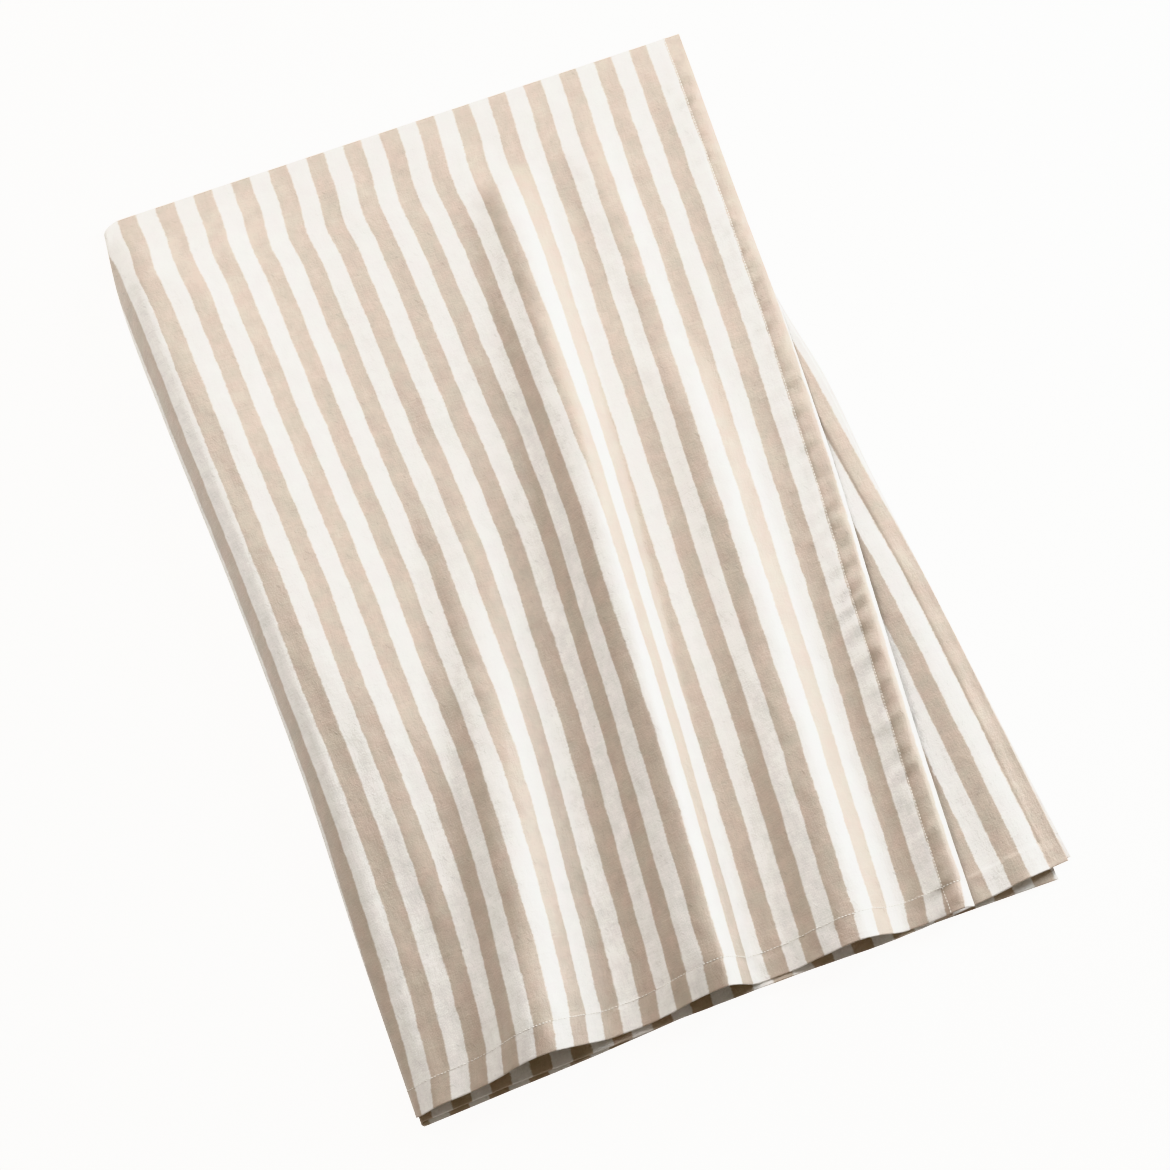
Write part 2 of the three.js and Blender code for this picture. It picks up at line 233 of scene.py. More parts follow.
# The top layer's sections, one every few millimetres down: X at even parts of the length
# along the cloth from the round of the fold to the side hem, and the lengths themselves.
def topSections(step=2.0, lastDown=1186, samples=480, parts=400, roundSamples=17):
    downs = np.arange(0, lastDown, step)
    left = outlineAt("left", downs)[:, None]
    hem = outlineAt("hem", downs)[:, None]
    angle = np.linspace(0, np.pi / 2, roundSamples)[None, :]
    xRound = left + outerRadius * (1 - np.cos(angle))
    zRound = outerRadius * np.sin(angle) + topLift(xRound, downs[:, None])
    roundLength = np.hypot(np.diff(xRound), np.diff(zRound)).sum(axis=1)
    x = between(left + outerRadius, hem, np.linspace(0, 1, samples)[None, :])
    z = topLift(x, downs[:, None])
    length = np.concatenate(
        [np.zeros((len(downs), 1)), np.cumsum(np.hypot(np.diff(x), np.diff(z)), axis=1)], axis=1)
    share = np.linspace(0, 1, parts)
    xAt = np.array([np.interp(share * run[-1], run, row) for run, row in zip(length, x)])
    return {"step": step, "xAt": xAt, "round": roundLength, "flat": length[:, -1]}


sections = topSections()
print("top layer's sections measured")


# Values of a table at fractional rows, and at fractional columns where it has them. The last
# place read is just short of the table's end.
def readTable(table, row, column=None, short=1.001):
    r = np.clip(row, 0, table.shape[0] - short)
    i = r.astype(int)
    if column is None:
        return between(table[i], table[i + 1], r - i)
    c = np.clip(column, 0, table.shape[1] - short)
    k = c.astype(int)
    upper = between(table[i, k], table[i, k + 1], c - k)
    lower = between(table[i + 1, k], table[i + 1, k + 1], c - k)
    return between(upper, lower, r - i)


# Distance down of a layer's bottom hem at a part of the way out.
def bottomHem(layer, part):
    return alongRows((0, 0.25, 0.5, 0.75, 1), bottomRows[layer], part)


# How a layer spreads from the lengthwise fold to its side hem at a distance down: the length
# round the fold, the length after it, the cloth's coordinate at the fold and its rate of gain.
def spread(layer, down):
    turned = turnedAt(down)
    if layer == 1:
        arc = readTable(sections["round"], down / sections["step"])
        flat = readTable(sections["flat"], down / sections["step"])
    else:
        arc = (outerRadius if layer == 4 else innerRadius) * np.pi / 2
        flat = hemX(layer, down) - outlineAt("left", down) - outerRadius
    if layer in (1, 2):
        rate = (cloth["halfWidth"] + giveAt(layer, down) + turned) / (arc + flat)
    else:
        rate = -(cloth["halfWidth"] - turned) / (arc + flat)
    return arc, flat, -turned, rate


# Where a layer's side hem lies: the outline's, and for layers 2 to 4 what is added to it.
def hemX(layer, down):
    if layer == 1:
        return outlineAt("hem", down)
    if layer == 2:
        past = -give["fanBack"] * bump(down, give["fanAt"], give["fanOver"])
    else:
        most, power = hemPast[layer]
        past = most * (down / stack["rowLength"]) ** power
    return outlineAt("lower", down) + past


# Creases of the top layer, each a soft ridge or trough along a straight line between two
# places given across and down the cloth.
creaseKeys = ("xStart", "downStart", "xEnd", "downEnd", "width", "height")
topCreases = [
    (-300, 650, -262, 1110, 15, 2.2),
    (-270, 700, -236, 1120, 11, -1.3),
    (120, 30, 132, 190, 14, -1.1),
    (236, 40, 230, 330, 15, 1.5),
    (250, 150, 246, 560, 10, 1.0),
    (160, 250, 176, 620, 16, -1.0),
    (-20, 300, -64, 900, 22, 1.4),
]
creaseEnds = 0.25  # share of a crease's length over which it comes up at each end


# A bell across the line, times a smooth step up from each of its ends.
def creaseHeight(crease, x, down):
    row = dict(zip(creaseKeys, crease))
    start = np.array([row["xStart"], row["downStart"]], float)
    along = np.array([row["xEnd"], row["downEnd"]], float) - start
    run = np.hypot(*along)
    dx, dd = x - start[0], down - start[1]
    part = (dx * along[0] + dd * along[1]) / run ** 2
    off = (dx * along[1] - dd * along[0]) / run
    ends = smooth(part / creaseEnds) * smooth((1 - part) / creaseEnds)
    return row["height"] * ends * bump(off, 0, row["width"])


# Ripples: how many of each length, how far they turn from the stripes, how much their lengths
# differ, and how far they swing from side to side along their crests.
ripple = {"each": 5, "turn": 0.5, "pace": (0.6, 1.4), "swing": 1.3, "swingPhase": 1.7}


# Soft unevenness: a sum of sine waves of a few lengths with seeded phases and directions.
def unevenness(u, v, seed, lengths, heights, stretch):
    random = np.random.default_rng(seed)
    total = 0
    for length, height in zip(lengths, heights):
        for _ in range(ripple["each"]):
            turn = random.uniform(-ripple["turn"], ripple["turn"])
            phase = random.uniform(0, 2 * np.pi)
            pace = random.uniform(*ripple["pace"])
            across = u * np.cos(turn) + v * np.sin(turn)
            along = v * np.cos(turn) - u * np.sin(turn)
            swing = np.sin(2 * np.pi * along / (length * stretch) + phase * ripple["swingPhase"])
            total = total + height / ripple["each"] ** 0.5 * np.sin(
                2 * np.pi * pace * across / length + phase + ripple["swing"] * swing)
    return total


# The top layer's small relief. Soft and crumple are given by seed, lengths, heights and stretch,
# puckers by seed, length, height and reach, and grooves by depth and half width.
relief = {
    "wakes": 60,                        # distance down over which all but the bottom hem's comes up
    "clearOfFold": 30, "foldOver": 25,  # from the lengthwise fold, where the top's comes up
    "soft": (11, [150, 70, 34], [0.8, 0.55, 0.28], 4),
    "crumple": (23, [34, 19], [0.24, 0.12], 1.6),
    "sidePucker": (5, 26, 2.8, 19), "sideGroove": (0.6, 2.0),
    "bottomPucker": (8, 23, 0.7, 14), "bottomGroove": (0.4, 2.0),
    "puckerLean": 0.35,                 # of the side hem's puckers from square to it
    "puckerShare": 0.35,                # of their height all along the side hem
    "puckerGains": [(0.65, 830, 190), (0.35, 240, 60)],  # share, place down and reach of more
    "innerShare": 0.5,                  # of the soft relief and the side hem's on layer 2
}
finer = 0.6         # a pucker's second ripple, as a share of the first one's length and height
puckerDrift = 0.13  # of a pucker's second coordinate with each millimetre along the hem
puckerStretch = 6


# Puckers where a hem is sewn: short ripples along it that die out to both sides of the seam.
def pucker(along, off, seed, length, height, reach):
    lengths, heights = [length, length * finer], [height, height * finer]
    wavy = unevenness(along, along * puckerDrift, seed, lengths, heights, puckerStretch)
    return wavy * bump(off, 0, reach)


# X, height over the flat stack, and the cloth's own coordinate for a layer of the outer pair
# (1 and 4) or the inner pair (2 and 3), at a part of the way out and a distance down.
def layerPoint(layer, part, down):
    arc, flat, origin, rate = spread(layer, down)
    u = origin + rate * (arc + part * flat)
    if layer == 1:
        x = readTable(sections["xAt"], down / sections["step"], part * (sections["xAt"].shape[1] - 1))
        u = u + gatherAt(down) * np.sin(np.pi * part) + hemLean(part, down)
        return x, foldHeight + outerRadius + topLift(x, down), u
    x = between(outlineAt("left", down) + outerRadius, hemX(layer, down), part)
    if layer == 2:
        return x, foldHeight + innerRadius + lowerLift(x, down), u
    if layer == 3:
        return x, foldHeight - innerRadius + lowerLift(x, down) / 2, u
    return x, stack["sheet"] / 2 + 0 * x, u


# The same on the round of the lengthwise fold, at an angle from below to above.
def foldPoint(outer, angle, down):
    left = outlineAt("left", down)
    radius = outerRadius if outer else innerRadius
    x = left + outerRadius - radius * np.cos(angle)
    z = foldHeight + radius * np.sin(angle)
    if outer:
        z = z + np.where(angle > 0, topLift(x, down), 0)
    upper, lower = (1, 4) if outer else (2, 3)
    arcUp, _, origin, rateUp = spread(upper, down)
    arcLow, _, _, rateLow = spread(lower, down)
    share = angle / (np.pi / 2)
    return x, z, origin + np.where(angle > 0, rateUp * arcUp * share, -rateLow * arcLow * share)


# Part of the way out for a column: body columns share what the hem leaves, and hem columns
# are counted in hem depths from the edge.
def partOut(layer, body, hem, down):
    arc, flat, origin, rate = spread(layer, down)
    seam = ((cloth["sideStitch"] * np.sign(rate) - origin) / rate - arc) / flat
    hemShare = 1 - seam
    return np.where(hem >= 0, 1 - hem * hemShare, body * (1 - hemColumns[0] * hemShare))


# Columns at a side hem, in hem depths from the edge: close at its stitching and at its edge.
hemColumns = np.array([
    1.9, 1.7, 1.5, 1.35, 1.2, 1.1, 1.03, 1.0, 0.97, 0.9,
    0.8, 0.65, 0.5, 0.35, 0.2, 0.1, 0.045, 0.018, 0.006, 0.0])
columnCounts = {"top": 132, "low": 14, "fold": 12}
# Rows at a bottom hem, in millimetres from its stitching. Before them come the rows of the
# outer and inner pair of layers, with a near step down to nearEnd and a far one after it.
hemRows = np.array([-6, -2.4, -1.0, 0, 1.0, 2.4, 6, 12, 18, 24, 27.5, 29.5, 30.3, 30.8, 31])
rowSteps = {"outer": (5, 7.4), "inner": (16, 21)}
nearEnd = 130
turnRows = 9  # round the crosswise fold


# Across the sheet: which side of the lengthwise fold (-1 or 1, and 0 on its round), the angle
# on the round, and the place on a layer's body or in its hem, where -1 is not in a hem.
def makeColumns():
    side, angle, body, hem = [], [], [], []
    low = np.linspace(0, 1, columnCounts["low"] + 1)[1:-1][::-1]
    top = np.linspace(0, 1, columnCounts["top"] + 1)[1:-1]
    around = np.linspace(-np.pi / 2, np.pi / 2, columnCounts["fold"] + 1)
    for value, count, angles, bodies, hems in (
        (-1, len(hemColumns), 0 * hemColumns, 0 * hemColumns, hemColumns[::-1]),
        (-1, len(low), 0 * low, low, -1 + 0 * low),
        (0, len(around), around, 0 * around, -1 + 0 * around),
        (1, len(top), 0 * top, top, -1 + 0 * top),
        (1, len(hemColumns), 0 * hemColumns, 0 * hemColumns, hemColumns),
    ):
        side.append(np.full(count, value))
        angle.append(angles)
        body.append(bodies)
        hem.append(hems)
    return {
        "side": np.concatenate(side), "angle": np.concatenate(angle),
        "body": np.concatenate(body), "hem": np.concatenate(hem),
    }


# Down the sheet, from the bottom hem of the outer pair of layers up to the crosswise fold,
# round it, and down to the hem of the inner pair.
def makeRows():
    hemStart = stack["rowLength"] - cloth["bottomHem"]
    pieces = {}
    for name, (near, far) in rowSteps.items():
        first = np.arange(0, nearEnd, near)
        count = int((hemStart - nearEnd) / far) + 1
        rest = np.linspace(nearEnd, hemStart + hemRows[0], count)[:-1]
        pieces[name] = np.concatenate([first, rest, hemStart + hemRows])
    turns = np.linspace(0, np.pi, turnRows)[1:-1]
    outer, inner = pieces["outer"][::-1], pieces["inner"]
    return {
        "down": np.concatenate([outer, 0 * turns, inner]),
        "turn": np.concatenate([0 * outer, turns, np.pi + 0 * inner]),
    }


# The crosswise fold: a straight line that falls across the cloth, with a rounded corner.
def foldLine(x):
    reach = np.clip(1 - (x - outline["left"][0]) / stack["cornerReach"], 0, 1)
    fall = stack["foldFall"] * (x - stack["foldEndX"])
    return stack["foldEndY"] - fall - stack["cornerDrop"] * reach * reach


# Middle of the sheet for a grid of columns and rows, with its own flat coordinates u and v:
# the crosswise fold turns from the outer pair to the inner one on half a circle.
def sheetMiddle(columns, rows):
    side, angle = columns["side"][None, :], columns["angle"][None, :]
    body, hem = columns["body"][None, :], columns["hem"][None, :]
    down, turn = rows["down"][:, None], rows["turn"][:, None]
    toInner = (1 - np.cos(turn)) / 2
    found = []
    for outer, upperLayer, lowerLayer in ((True, 1, 4), (False, 2, 3)):
        x = np.zeros((len(rows["down"]), len(columns["side"])))
        z, u, downs = x.copy(), x.copy(), x.copy()
        for layer, where in ((upperLayer, side > 0), (lowerLayer, side < 0)):
            part = partOut(layer, body, hem, down + 0 * body)
            at = down * bottomHem(layer, part) / stack["rowLength"]
            px, pz, pu = layerPoint(layer, part, at)
            pairs = ((px, x), (pz, z), (pu, u), (at, downs))
            x, z, u, downs = (np.where(where, new, old) for new, old in pairs)
        hemDown = between(bottomHem(lowerLayer, 0), bottomHem(upperLayer, 0), angle / np.pi + 0.5)
        at = down * hemDown / stack["rowLength"]
        px, pz, pu = foldPoint(outer, angle + 0 * at, at)
        pairs = ((px, x), (pz, z), (pu, u), (at, downs))
        x, z, u, downs = (np.where(side == 0, new, old) for new, old in pairs)
        found.append((x, z, u, downs))
    (x1, z1, u1, d1), (x2, z2, u2, d2) = found
    x, z = between(x1, x2, toInner), between(z1, z2, toInner)
    u, d = between(u1, u2, toInner), between(d1, d2, toInner)
    z = z + smallRelief(side, x1, d1, u, d, toInner)
    y = foldLine(x) - d - innerRadius * (1 - np.sin(turn))
    quarter = innerRadius * np.pi / 2
    away = quarter + down * (cloth["halfLength"] - quarter) / stack["rowLength"]
    onRound = (turn > 0) & (turn < np.pi)
    v = np.where(onRound, innerRadius * (np.pi / 2 - turn), np.where(turn > 0, -away, away))
    points = np.stack([x - stack["centreX"], y - stack["centreY"], z], axis=-1) * metre
    return points, u, v + 0 * u


def groove(off, depth, halfWidth):  # a bell turned down, where a seam draws the cloth in
    return -depth * bump(off, 0, halfWidth)


# What is added to the height of layers 1 and 2 on top of the solid's waves: the creases, soft
# crumples, and puckers that run across each hem on both sides of its stitching. The place x
# and down is the outer layers', and u and d are the sheet's own.
def smallRelief(side, x, down, u, d, toInner):
    onTop = (side > 0) * (1 - toInner)
    onInner = (side > 0) * toInner
    wakes = smooth(d / relief["wakes"])
    creases = sum(creaseHeight(row, x, down) for row in topCreases)
    soft, crumple = unevenness(u, d, *relief["soft"]), unevenness(u, d, *relief["crumple"])
    seamU = np.abs(u) - cloth["sideStitch"]
    seamD = d - (bottomHem(1, 0.5) - cloth["bottomHem"])
    tight = relief["puckerShare"] + sum(
        share * bump(d, at, over) for share, at, over in relief["puckerGains"])
    sideSeam = tight * pucker(d + relief["puckerLean"] * seamU, seamU, *relief["sidePucker"])
    sideSeam = sideSeam + groove(seamU, *relief["sideGroove"])
    bottomSeam = pucker(u, seamD, *relief["bottomPucker"]) + groove(seamD, *relief["bottomGroove"])
    clear = smooth((x - outlineAt("left", down) - relief["clearOfFold"]) / relief["foldOver"])
    upper = ((creases + soft + crumple) * clear + sideSeam) * wakes + bottomSeam
    inner = (relief["innerShare"] * (soft + sideSeam) + crumple) * wakes
    return upper * onTop + inner * onInner


# In the bottom hem of the top layer the stripes stand a little to the left of those above, and
# lean further that way down to the edge. Both come up beside the lengthwise fold.
hemSlip = {"aside": 1.4, "asideOver": 1.5, "leans": 3.2, "foldShare": 0.03}


def hemLean(part, down):
    into = down - (bottomHem(1, part) - cloth["bottomHem"])
    aside = hemSlip["aside"] * smooth(into / hemSlip["asideOver"])
    leaning = hemSlip["leans"] * np.clip(into / cloth["bottomHem"], 0, 1)
    return (aside + leaning) * smooth(part / hemSlip["foldShare"])


# Unit normals of a grid of points, from central differences along its rows and columns.
def gridNormals(points):
    across = np.gradient(points, axis=1)
    along = np.gradient(points, axis=0)
    normal = np.cross(across, along)
    return normal / np.linalg.norm(normal, axis=-1, keepdims=True)


def newMesh(name, verts, faces, material, smoothShade=True):
    mesh = bpy.data.meshes.new(name)
    mesh.from_pydata(verts.tolist(), [], faces)
    mesh.materials.append(material)
    mesh.polygons.foreach_set("use_smooth", [smoothShade] * len(mesh.polygons))
    piece = bpy.data.objects.new(name, mesh)
    bpy.context.scene.collection.objects.link(piece)
    return piece


def setUv(piece, name, uv):
    layer = piece.data.uv_layers.new(name=name)
    corners = np.empty(len(piece.data.loops), int)
    piece.data.loops.foreach_get("vertex_index", corners)
    layer.data.foreach_set("uv", uv[corners].astype(np.float32).ravel())


# The closed sheet: the middle grid moved out to its right and wrong sides, thicker in the
# hems, its edges rounded as half an ellipse.
def makeSheet(material):
    columns, rows = makeColumns(), makeRows()
    middle, u, v = sheetMiddle(columns, rows)
    normal = gridNormals(middle)
    hemStart = stack["rowLength"] - cloth["bottomHem"]
    hem = columns["hem"]
    inSide = np.where(hem >= 0, smooth((hemRise["sideFrom"] - hem) / hemRise["sideOver"]), 0)[None, :]
    past = rows["down"] - hemStart + hemRise["bottomBefore"]
    inBottom = smooth(past / hemRise["bottomOver"])[:, None]
    thick = between(cloth["thickness"], cloth["hemThickness"], np.maximum(inSide, inBottom))
    fromSide = np.where(hem >= 0, hem * hemRise["sideDepth"], np.inf)[None, :]
    fromEdge = np.minimum(fromSide, (stack["rowLength"] - rows["down"])[:, None])
    rim = np.clip(fromEdge / cloth["edgeRound"], 0.0, 1)
    half = thick / 2 * np.maximum(np.sqrt(1 - (1 - rim) ** 2), cloth["edgeLeast"])
    centre = cloth["rightSide"] - thick / 2
    right = middle + normal * ((centre + half) * metre)[..., None]
    wrong = middle + normal * ((centre - half) * metre)[..., None]
    high, wide = u.shape
    index = np.arange(high * wide).reshape(high, wide)
    other = index + high * wide
    here, there = slice(None, -1), slice(1, None)
    corners = [(here, here), (here, there), (there, there), (there, here)]
    front = np.stack([index[c] for c in corners], axis=-1).reshape(-1, 4)
    back = np.stack([other[c] for c in corners[::-1]], axis=-1).reshape(-1, 4)
    rims = [
        np.stack([index[0, :-1], other[0, :-1], other[0, 1:], index[0, 1:]], axis=-1),
        np.stack([index[-1, :-1], index[-1, 1:], other[-1, 1:], other[-1, :-1]], axis=-1),
        np.stack([index[:-1, 0], index[1:, 0], other[1:, 0], other[:-1, 0]], axis=-1),
        np.stack([index[:-1, -1], other[:-1, -1], other[1:, -1], index[1:, -1]], axis=-1),
    ]
    verts = np.concatenate([right.reshape(-1, 3), wrong.reshape(-1, 3)])
    faces = np.concatenate([front, back, *rims])
    piece = newMesh("striped_cloth", verts, faces.tolist(), material)
    flat = np.stack([u, v], axis=-1).reshape(-1, 2) * metre
    setUv(piece, "flatCloth", np.concatenate([flat, flat]))
    print("sheet of", len(faces) * 2, "triangles, lowest point", verts[:, 2].min())
    sideLines = [(right[:, c], normal[:, c]) for c in np.flatnonzero(hem == 1)]
    seamRows = np.flatnonzero(np.isclose(rows["down"], hemStart))
    return piece, sideLines + [(right[r], normal[r]) for r in seamRows]


# Stitches: one small bead each, along the hems' seams on the cloth's right side.
stitch = {
    "pitch": 4.0, "length": 2.7, "width": 1.1, "height": 0.6, "around": 5,
    "endClear": 2,                                                  # from each end of a seam
    "places": (-0.5, -0.3, 0.3, 0.5), "sizes": (0.35, 1, 1, 0.35),  # of a bead's rings
}


# Beads at even steps along a line of points with their normals: a bead's rings are small at
# its ends, and it is half sunk in the cloth.
def beadsAlong(points, normals):
    length = np.concatenate([[0], np.cumsum(np.linalg.norm(np.diff(points, axis=0), axis=1))])
    clear = stitch["endClear"]
    at = np.arange(clear, length[-1] / metre - clear, stitch["pitch"]) * metre
    place = np.stack([np.interp(at, length, points[:, k]) for k in range(3)], axis=-1)
    ahead = np.stack([np.interp(at + clear * metre, length, points[:, k]) for k in range(3)], axis=-1)
    upward = np.stack([np.interp(at, length, normals[:, k]) for k in range(3)], axis=-1)
    along = ahead - place
    along = along / np.linalg.norm(along, axis=-1, keepdims=True)
    across = np.cross(upward, along)
    ring = np.linspace(0, 2 * np.pi, stitch["around"] + 1)[:-1]
    places, sizes = np.array(stitch["places"]), np.array(stitch["sizes"])
    shape = np.stack([
        (places[:, None] + 0 * ring) * stitch["length"],
        sizes[:, None] * np.cos(ring) * stitch["width"] / 2,
        sizes[:, None] * np.sin(ring) * stitch["height"],
    ], axis=-1).reshape(-1, 3) * metre
    axes = np.stack([along, across, upward], axis=1)
    return (place[:, None, :] + np.einsum("vk,skc->svc", shape, axes)).reshape(-1, 3)


# All the beads as one mesh: quads between a bead's rings, and a face on each of its ends.
def makeStitches(lines, material):
    verts = np.concatenate([beadsAlong(points, normals) for points, normals in lines])
    around, rings = stitch["around"], len(stitch["places"])
    count = len(verts) // (rings * around)
    k = np.arange(around)
    ring = np.stack([k, (k + 1) % around, (k + 1) % around + around, k + around], axis=-1)
    sides = np.concatenate([ring + around * step for step in range(rings - 1)])
    caps = np.stack([k[::-1], k + (rings - 1) * around])
    first = np.arange(count)[:, None, None] * rings * around
    quads = (sides[None] + first).reshape(-1, 4).tolist()
    ends = (caps[None] + first).reshape(-1, around).tolist()
    print("stitches", count)
    return newMesh("hem_stitches", verts, quads + ends, material)


# A node with its settings, and with its inputs linked or set.
def addNode(tree, kind, inputs=None, **settings):
    node = tree.nodes.new(kind)
    for key, value in settings.items():
        setattr(node, key, value)
    for key, value in (inputs or {}).items():
        if isinstance(value, bpy.types.NodeSocket):
            tree.links.new(value, node.inputs[key])
        else:
            node.inputs[key].default_value = value
    return node


def maths(tree, operation, a, b=0.0):
    return addNode(tree, "ShaderNodeMath", {0: a, 1: b}, operation=operation).outputs[0]


def addUp(tree, first, *others):
    for value in others:
        first = maths(tree, "ADD", first, value)
    return first


# A value brought from one range to another: a row of the first range's ends, and of the second
# range's where it isn't 0 to 1.
def ranged(tree, value, row, curve="LINEAR"):
    names = ("From Min", "From Max", "To Min", "To Max")
    inputs = dict(zip(names, row), Value=value)
    return addNode(tree, "ShaderNodeMapRange", inputs, interpolation_type=curve).outputs[0]


def newGroup(name, inputs, outputs):
    group = bpy.data.node_groups.new(name, "ShaderNodeTree")
    for label, kind, value in inputs:
        socket = group.interface.new_socket(label, in_out="INPUT", socket_type=kind)
        if value is not None:
            socket.default_value = value
    for label, kind in outputs:
        group.interface.new_socket(label, in_out="OUTPUT", socket_type=kind)
    return group, group.nodes.new("NodeGroupInput"), group.nodes.new("NodeGroupOutput")


# Noise by scale in cells per metre, stretch of its place, detail and roughness.
def noiseOf(tree, vector, scale, stretch, detail, roughness):
    placed = addNode(tree, "ShaderNodeVectorMath", {0: vector, 1: stretch}, operation="MULTIPLY")
    noise = addNode(tree, "ShaderNodeTexNoise", {
        "Vector": placed.outputs[0], "Scale": scale, "Detail": detail, "Roughness": roughness})
    return noise.outputs["Fac"]


# A stripe's edge: hairs, a short waver and a slow one, each a noise and its share.
stripeEdge = {
    "hairs": ((620, (0.5, 1, 1), 3.0, 0.7), 1.5),
    "waver": ((130, (1, 1, 1), 2.0, 0.6), 0.7),
    "slow": ((24, (1, 1, 1), 1.0, 0.5), 1.0),
}


# Even stripes along v: 1 in the coloured ones, 0 in the white. Their soft edges waver slowly,
# and threads of each colour reach a little into the other.
def stripeGroup():
    group, given, out = newGroup("yarnDyedStripes", [
        ("Flat", "NodeSocketVector", None), ("Pitch", "NodeSocketFloat", 0.0466),
        ("Waver", "NodeSocketFloat", 0.0034), ("Softness", "NodeSocketFloat", 0.0022),
    ], [("Stripe", "NodeSocketFloat")])
    flat = given.outputs["Flat"]
    parts = addNode(group, "ShaderNodeSeparateXYZ", {0: flat})
    shift = addUp(group, *(
        maths(group, "MULTIPLY", maths(group, "SUBTRACT", noiseOf(group, flat, *noise), 0.5), share)
        for noise, share in stripeEdge.values()))
    u = addUp(group, parts.outputs["X"], maths(group, "MULTIPLY", shift, given.outputs["Waver"]))
    quarter = maths(group, "MULTIPLY", given.outputs["Pitch"], 0.25)
    reach = maths(group, "PINGPONG", u, maths(group, "MULTIPLY", given.outputs["Pitch"], 0.5))
    past = maths(group, "DIVIDE", maths(group, "SUBTRACT", quarter, reach), given.outputs["Softness"])
    group.links.new(ranged(group, past, (-0.5, 0.5), "SMOOTHSTEP"), out.inputs["Stripe"])
    return group


# The weave: its noises, the share of each part in its height, how far threads stray from
# straight, and its raised fibres, which lie turned from the threads.
weaveNoise = {
    "stray": (300, (1, 1, 1), 2.0, 0.5),
    "slubAlong": (330, (0.2, 1, 1), 2.0, 0.6), "slubAcross": (330, (1, 0.2, 1), 2.0, 0.6),
    "nap": (500, (1, 1, 1), 3.0, 0.7), "cloud": (55, (1, 0.8, 1), 4.0, 0.65),
    "tint": (34, (1, 1, 1), 3.0, 0.6),
}
weaveHeight = {"threads": 0.06, "slub": 0.5, "nap": 0.6, "cloud": 1.3, "fleck": 0.25}
strayBy = 3.5
fibres = {"noise": (260, (1, 0.3, 1), 2.0, 0.5), "turn": 0.6, "range": (0.62, 0.74)}


# Brushed cotton weave: fine threads both ways, slubs along them, short raised fibres and a
# soft cloudy nap.
def weaveGroup():
    group, given, out = newGroup("brushedWeave", [
        ("Flat", "NodeSocketVector", None), ("Thread", "NodeSocketFloat", 0.0009),
    ], [("Height", "NodeSocketFloat"), ("Cloud", "NodeSocketFloat"), ("Slub", "NodeSocketFloat"),
        ("Fleck", "NodeSocketFloat"), ("Tint", "NodeSocketFloat")])
    flat = given.outputs["Flat"]
    parts = addNode(group, "ShaderNodeSeparateXYZ", {0: flat})
    turn = maths(group, "DIVIDE", np.pi, given.outputs["Thread"])
    noise = {key: noiseOf(group, flat, *row) for key, row in weaveNoise.items()}
    stray = maths(group, "MULTIPLY", noise["stray"], strayBy)
    warp, weft = (
        maths(group, "SINE", addUp(group, maths(group, "MULTIPLY", parts.outputs[way], turn), stray))
        for way in ("X", "Y"))
    turned = addNode(group, "ShaderNodeVectorRotate", {
        "Vector": flat, "Angle": fibres["turn"]}, rotation_type="Z_AXIS")
    fibre = noiseOf(group, turned.outputs[0], *fibres["noise"])
    part = {
        "threads": maths(group, "MULTIPLY", warp, weft),
        "slub": addUp(group, noise["slubAlong"], noise["slubAcross"]),
        "nap": noise["nap"], "cloud": noise["cloud"],
        "fleck": ranged(group, fibre, fibres["range"], "SMOOTHSTEP"),
    }
    height = addUp(group, *(
        maths(group, "MULTIPLY", part[key], share) for key, share in weaveHeight.items()))
    results = {"Height": height, "Cloud": part["cloud"], "Slub": part["slub"],
               "Fleck": part["fleck"], "Tint": noise["tint"]}
    for label, value in results.items():
        group.links.new(value, out.inputs[label])
    return group


# The cloth's colours, each with the tint that it drifts to, its gloss, and the ranges that turn
# the weave's masks into shade.
clothLook = {
    "white": (0.770, 0.757, 0.733, 1), "beige": (0.444, 0.378, 0.308, 1),
    "whiteTinted": (0.786, 0.752, 0.740, 1), "beigeTinted": (0.466, 0.364, 0.302, 1),
    "roughness": 0.55, "specular": 0.9, "sheen": 0.6, "sheenRoughness": 0.5,
    "bumpDistance": 0.0014, "bumpStrength": 0.45,
    "tintRange": (0.35, 0.65),
    "cloudShade": (0.3, 0.7, 0.89, 1.08), "slubShade": (0.7, 1.3, 0.965, 1.035),
    "fleckShade": 0.11,
}
threadLook = {"colour": (0.82, 0.80, 0.76, 1), "roughness": 0.7, "sheen": 0.6}


def newMaterial(name):
    material = bpy.data.materials.new(name)
    material.use_nodes = True
    return material, material.node_tree, material.node_tree.nodes["Principled BSDF"]


def mixed(tree, share, first, second):
    mix = addNode(tree, "ShaderNodeMix", {"Factor": share, "A": first, "B": second}, data_type="RGBA")
    return mix.outputs["Result"]


